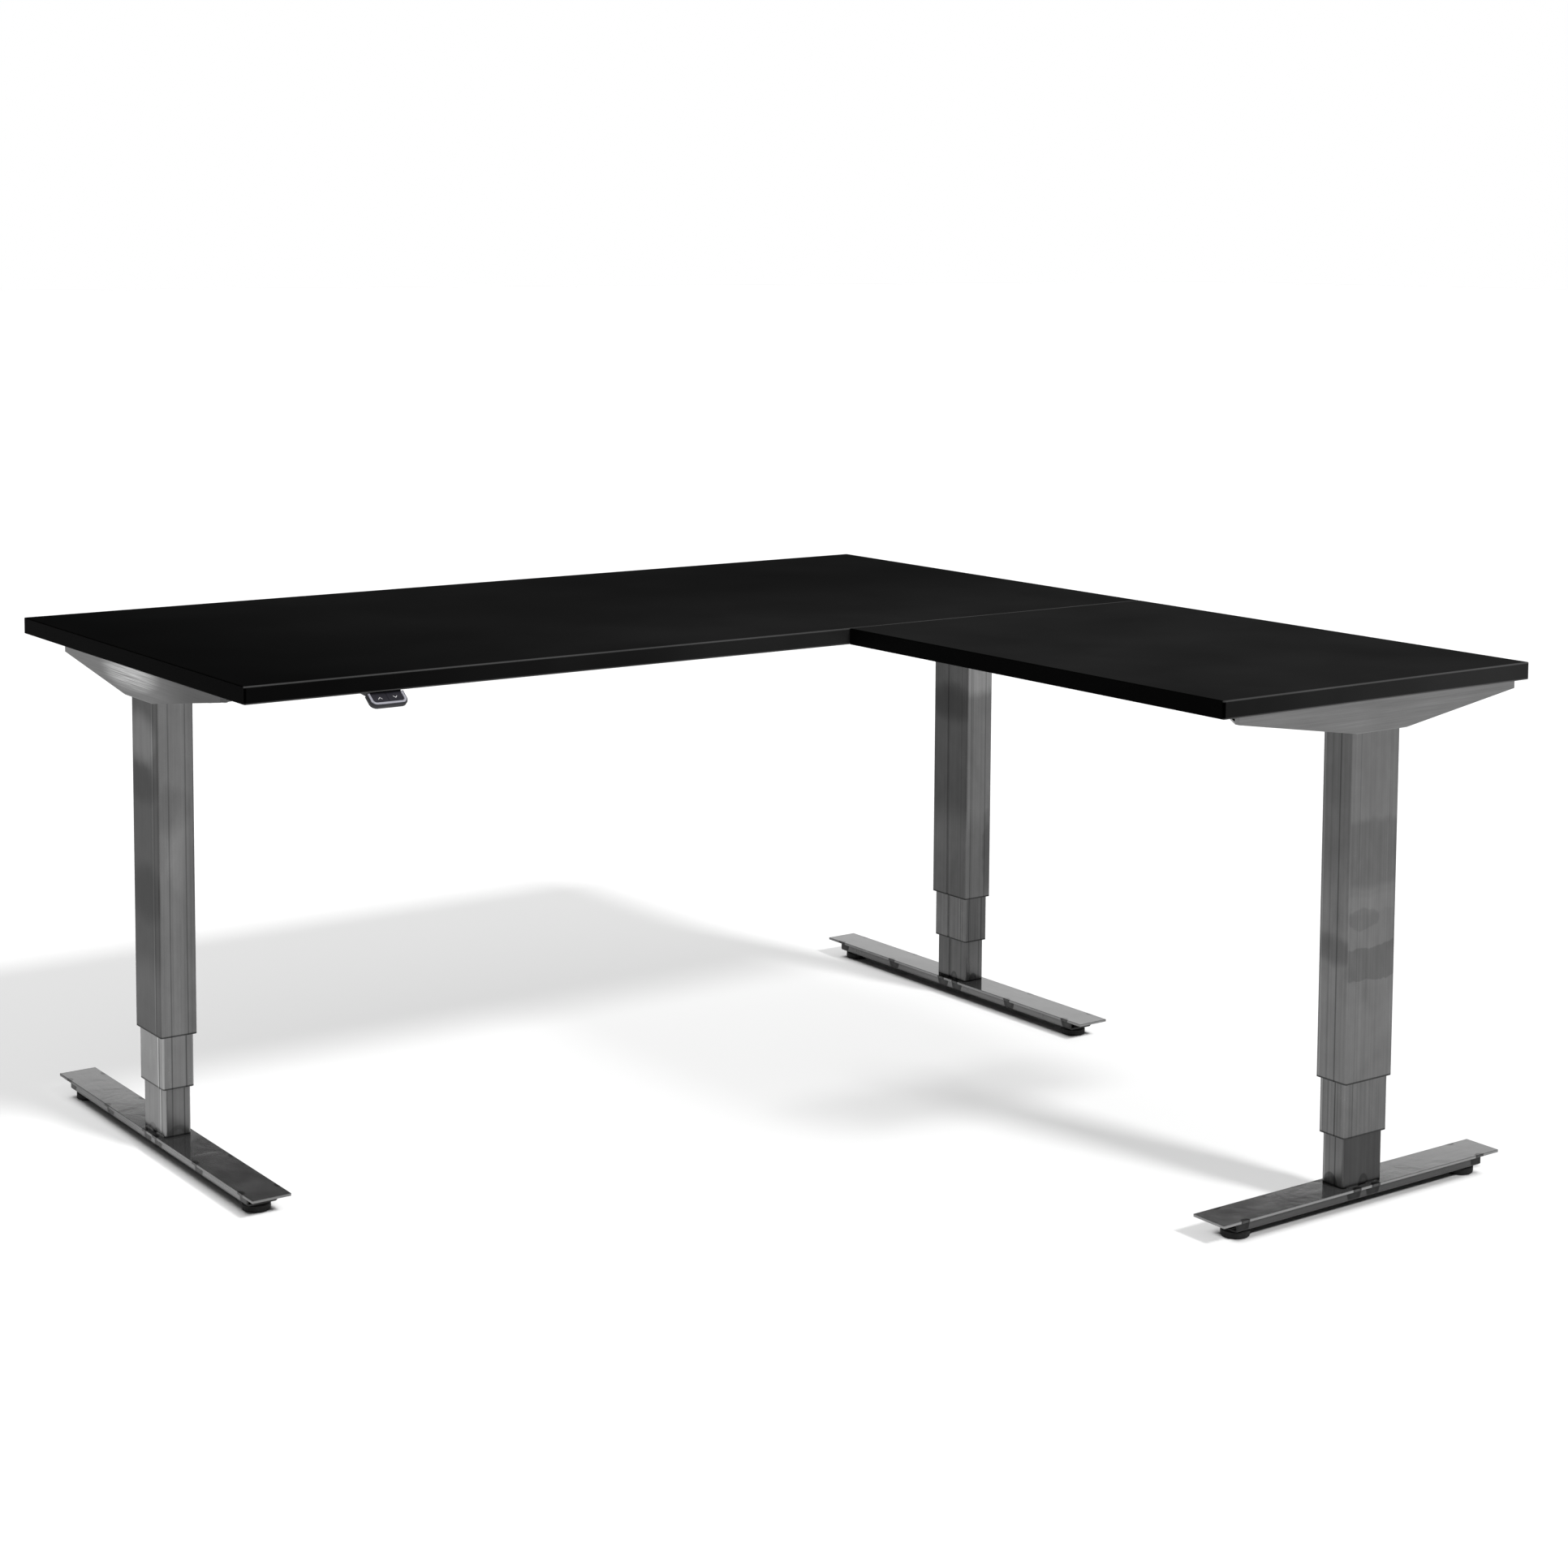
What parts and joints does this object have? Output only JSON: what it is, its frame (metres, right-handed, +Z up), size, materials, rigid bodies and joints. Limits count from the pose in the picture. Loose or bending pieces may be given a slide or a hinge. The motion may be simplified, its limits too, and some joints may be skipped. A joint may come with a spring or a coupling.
{
  "type": "height adjustable standing desk",
  "caption": "L-shaped standing desk with black tops on telescopic raw-steel legs with T-feet, raised and lowered by leg motors from a two-key handset under the front edge.",
  "frame": {"origin": "on the floor, at the middle of the desk's outline", "axes": "+X along the main top to the end that carries the return, +Y to the main top's back edge, +Z up"},
  "size_m": [1.6, 1.6, 0.742],
  "materials": {
    "black_laminate": "matt black melamine on chipboard, black edging",
    "raw_steel": "clear-lacquered raw steel with lengthwise drawing lines and mill-scale clouds",
    "brushed_sheet": "brushed sheet steel under clear lacquer",
    "screw_steel": "bright rolled steel, greased",
    "glide_plastic": "black acetal",
    "black_rubber": "matt black rubber pad",
    "cast_aluminium": "as-cast, matt",
    "motor_black": "satin black paint",
    "charcoal_plastic": "fine-textured charcoal moulding",
    "key_plastic": "satin charcoal key with a pale symbol"
  },
  "bodies": {
    "foot_1": {"foot_1_plate": "raw_steel", "foot_1_channel": "raw_steel", "column_1_inner_tube": "raw_steel", "column_1_nut_cap": "glide_plastic"},
    "middle_stage_1": {"column_1_middle_tube": "raw_steel", "column_1_middle_ring": "glide_plastic", "column_1_bearing_cap": "glide_plastic"},
    "spindle_1": {"column_1_hollow_spindle": "screw_steel"},
    "drive_screw_1": {"column_1_drive_screw": "screw_steel"},
    "glide_1_rear": {"glide_1_rear": "black_rubber"},
    "glide_1_front": {"glide_1_front": "black_rubber"},
    "foot_2": {"foot_2_plate": "raw_steel", "foot_2_channel": "raw_steel", "column_2_inner_tube": "raw_steel", "column_2_nut_cap": "glide_plastic"},
    "middle_stage_2": {"column_2_middle_tube": "raw_steel", "column_2_middle_ring": "glide_plastic", "column_2_bearing_cap": "glide_plastic"},
    "spindle_2": {"column_2_hollow_spindle": "screw_steel"},
    "drive_screw_2": {"column_2_drive_screw": "screw_steel"},
    "glide_2_rear": {"glide_2_rear": "black_rubber"},
    "glide_2_front": {"glide_2_front": "black_rubber"},
    "foot_3": {"foot_3_plate": "raw_steel", "foot_3_channel": "raw_steel", "column_3_inner_tube": "raw_steel", "column_3_nut_cap": "glide_plastic"},
    "middle_stage_3": {"column_3_middle_tube": "raw_steel", "column_3_middle_ring": "glide_plastic", "column_3_bearing_cap": "glide_plastic"},
    "spindle_3": {"column_3_hollow_spindle": "screw_steel"},
    "drive_screw_3": {"column_3_drive_screw": "screw_steel"},
    "glide_3_left": {"glide_3_left": "black_rubber"},
    "glide_3_right": {"glide_3_right": "black_rubber"},
    "desk_top": {"main_desktop": "black_laminate", "return_desktop": "black_laminate", "column_1_outer_tube": "raw_steel", "column_1_outer_ring": "glide_plastic", "side_bracket_1": "brushed_sheet", "gearbox_1": "cast_aluminium", "motor_1": "motor_black", "column_2_outer_tube": "raw_steel", "column_2_outer_ring": "glide_plastic", "side_bracket_2": "brushed_sheet", "gearbox_2": "cast_aluminium", "motor_2": "motor_black", "column_3_outer_tube": "raw_steel", "column_3_outer_ring": "glide_plastic", "side_bracket_3": "brushed_sheet", "gearbox_3": "cast_aluminium", "motor_3": "motor_black", "main_front_beam": "raw_steel", "main_rear_beam": "raw_steel", "return_left_beam": "raw_steel", "return_right_beam": "raw_steel", "joining_plate": "brushed_sheet", "control_box": "charcoal_plastic", "handset_housing": "charcoal_plastic"},
    "up_key": {"up_key": "key_plastic"},
    "down_key": {"down_key": "key_plastic"}
  },
  "joints": [
    {"name": "leg_1_lower_stage", "type": "slide", "parent": "foot_1", "child": "middle_stage_1", "axis": [0, 0, 1], "range_m": [-0.065, 0.26]},
    {"name": "leg_1_upper_stage", "type": "slide", "parent": "middle_stage_1", "child": "desk_top", "axis": [0, 0, 1], "range_m": [-0.065, 0.26]},
    {"name": "leg_2_upper_stage", "type": "slide", "parent": "desk_top", "child": "middle_stage_2", "axis": [0, 0, -1], "range_m": [-0.065, 0.26]},
    {"name": "leg_2_lower_stage", "type": "slide", "parent": "middle_stage_2", "child": "foot_2", "axis": [0, 0, -1], "range_m": [-0.065, 0.26]},
    {"name": "leg_3_upper_stage", "type": "slide", "parent": "desk_top", "child": "middle_stage_3", "axis": [0, 0, -1], "range_m": [-0.065, 0.26]},
    {"name": "leg_3_lower_stage", "type": "slide", "parent": "middle_stage_3", "child": "foot_3", "axis": [0, 0, -1], "range_m": [-0.065, 0.26]},
    {"name": "drive_screw_1_turn", "type": "hinge", "parent": "desk_top", "child": "drive_screw_1", "pos_m": [-0.749, 0.39, 0.7], "axis": [0, 0, 1], "continuous": true},
    {"name": "spindle_1_turn", "type": "hinge", "parent": "middle_stage_1", "child": "spindle_1", "pos_m": [-0.749, 0.39, 0.6], "axis": [0, 0, 1], "continuous": true},
    {"name": "drive_screw_2_turn", "type": "hinge", "parent": "desk_top", "child": "drive_screw_2", "pos_m": [0.749, 0.39, 0.7], "axis": [0, 0, 1], "continuous": true},
    {"name": "spindle_2_turn", "type": "hinge", "parent": "middle_stage_2", "child": "spindle_2", "pos_m": [0.749, 0.39, 0.6], "axis": [0, 0, 1], "continuous": true},
    {"name": "drive_screw_3_turn", "type": "hinge", "parent": "desk_top", "child": "drive_screw_3", "pos_m": [0.516, -0.749, 0.7], "axis": [0, 0, 1], "continuous": true},
    {"name": "spindle_3_turn", "type": "hinge", "parent": "middle_stage_3", "child": "spindle_3", "pos_m": [0.516, -0.749, 0.6], "axis": [0, 0, 1], "continuous": true},
    {"name": "glide_1_rear_turn", "type": "hinge", "parent": "foot_1", "child": "glide_1_rear", "pos_m": [-0.749, 0.69, 0.01], "axis": [0, 0, 1], "continuous": true},
    {"name": "glide_1_front_turn", "type": "hinge", "parent": "foot_1", "child": "glide_1_front", "pos_m": [-0.749, 0.09, 0.01], "axis": [0, 0, 1], "continuous": true},
    {"name": "glide_2_rear_turn", "type": "hinge", "parent": "foot_2", "child": "glide_2_rear", "pos_m": [0.749, 0.69, 0.01], "axis": [0, 0, 1], "continuous": true},
    {"name": "glide_2_front_turn", "type": "hinge", "parent": "foot_2", "child": "glide_2_front", "pos_m": [0.749, 0.09, 0.01], "axis": [0, 0, 1], "continuous": true},
    {"name": "glide_3_left_turn", "type": "hinge", "parent": "foot_3", "child": "glide_3_left", "pos_m": [0.291, -0.749, 0.01], "axis": [0, 0, 1], "continuous": true},
    {"name": "glide_3_right_turn", "type": "hinge", "parent": "foot_3", "child": "glide_3_right", "pos_m": [0.741, -0.749, 0.01], "axis": [0, 0, 1], "continuous": true},
    {"name": "up_key_press", "type": "slide", "parent": "desk_top", "child": "up_key", "axis": [0, 0.5878, -0.809], "range_m": [0, 0.001], "stiffness_N_per_m": 300, "springref_m": -0.001},
    {"name": "down_key_press", "type": "slide", "parent": "desk_top", "child": "down_key", "axis": [0, 0.5878, -0.809], "range_m": [0, 0.001], "stiffness_N_per_m": 300, "springref_m": -0.001}
  ],
  "couplings": [
    {"joint": "leg_1_upper_stage", "follows": "leg_1_lower_stage", "ratio": 1},
    {"joint": "leg_2_upper_stage", "follows": "leg_1_lower_stage", "ratio": 1},
    {"joint": "leg_2_lower_stage", "follows": "leg_1_lower_stage", "ratio": 1},
    {"joint": "leg_3_upper_stage", "follows": "leg_1_lower_stage", "ratio": 1},
    {"joint": "leg_3_lower_stage", "follows": "leg_1_lower_stage", "ratio": 1},
    {"joint": "drive_screw_1_turn", "follows": "leg_1_lower_stage", "rad_per_m": 1256.6},
    {"joint": "spindle_1_turn", "follows": "leg_1_lower_stage", "rad_per_m": 628.32},
    {"joint": "drive_screw_2_turn", "follows": "leg_1_lower_stage", "rad_per_m": 1256.6},
    {"joint": "spindle_2_turn", "follows": "leg_1_lower_stage", "rad_per_m": 628.32},
    {"joint": "drive_screw_3_turn", "follows": "leg_1_lower_stage", "rad_per_m": 1256.6},
    {"joint": "spindle_3_turn", "follows": "leg_1_lower_stage", "rad_per_m": 628.32}
  ]
}
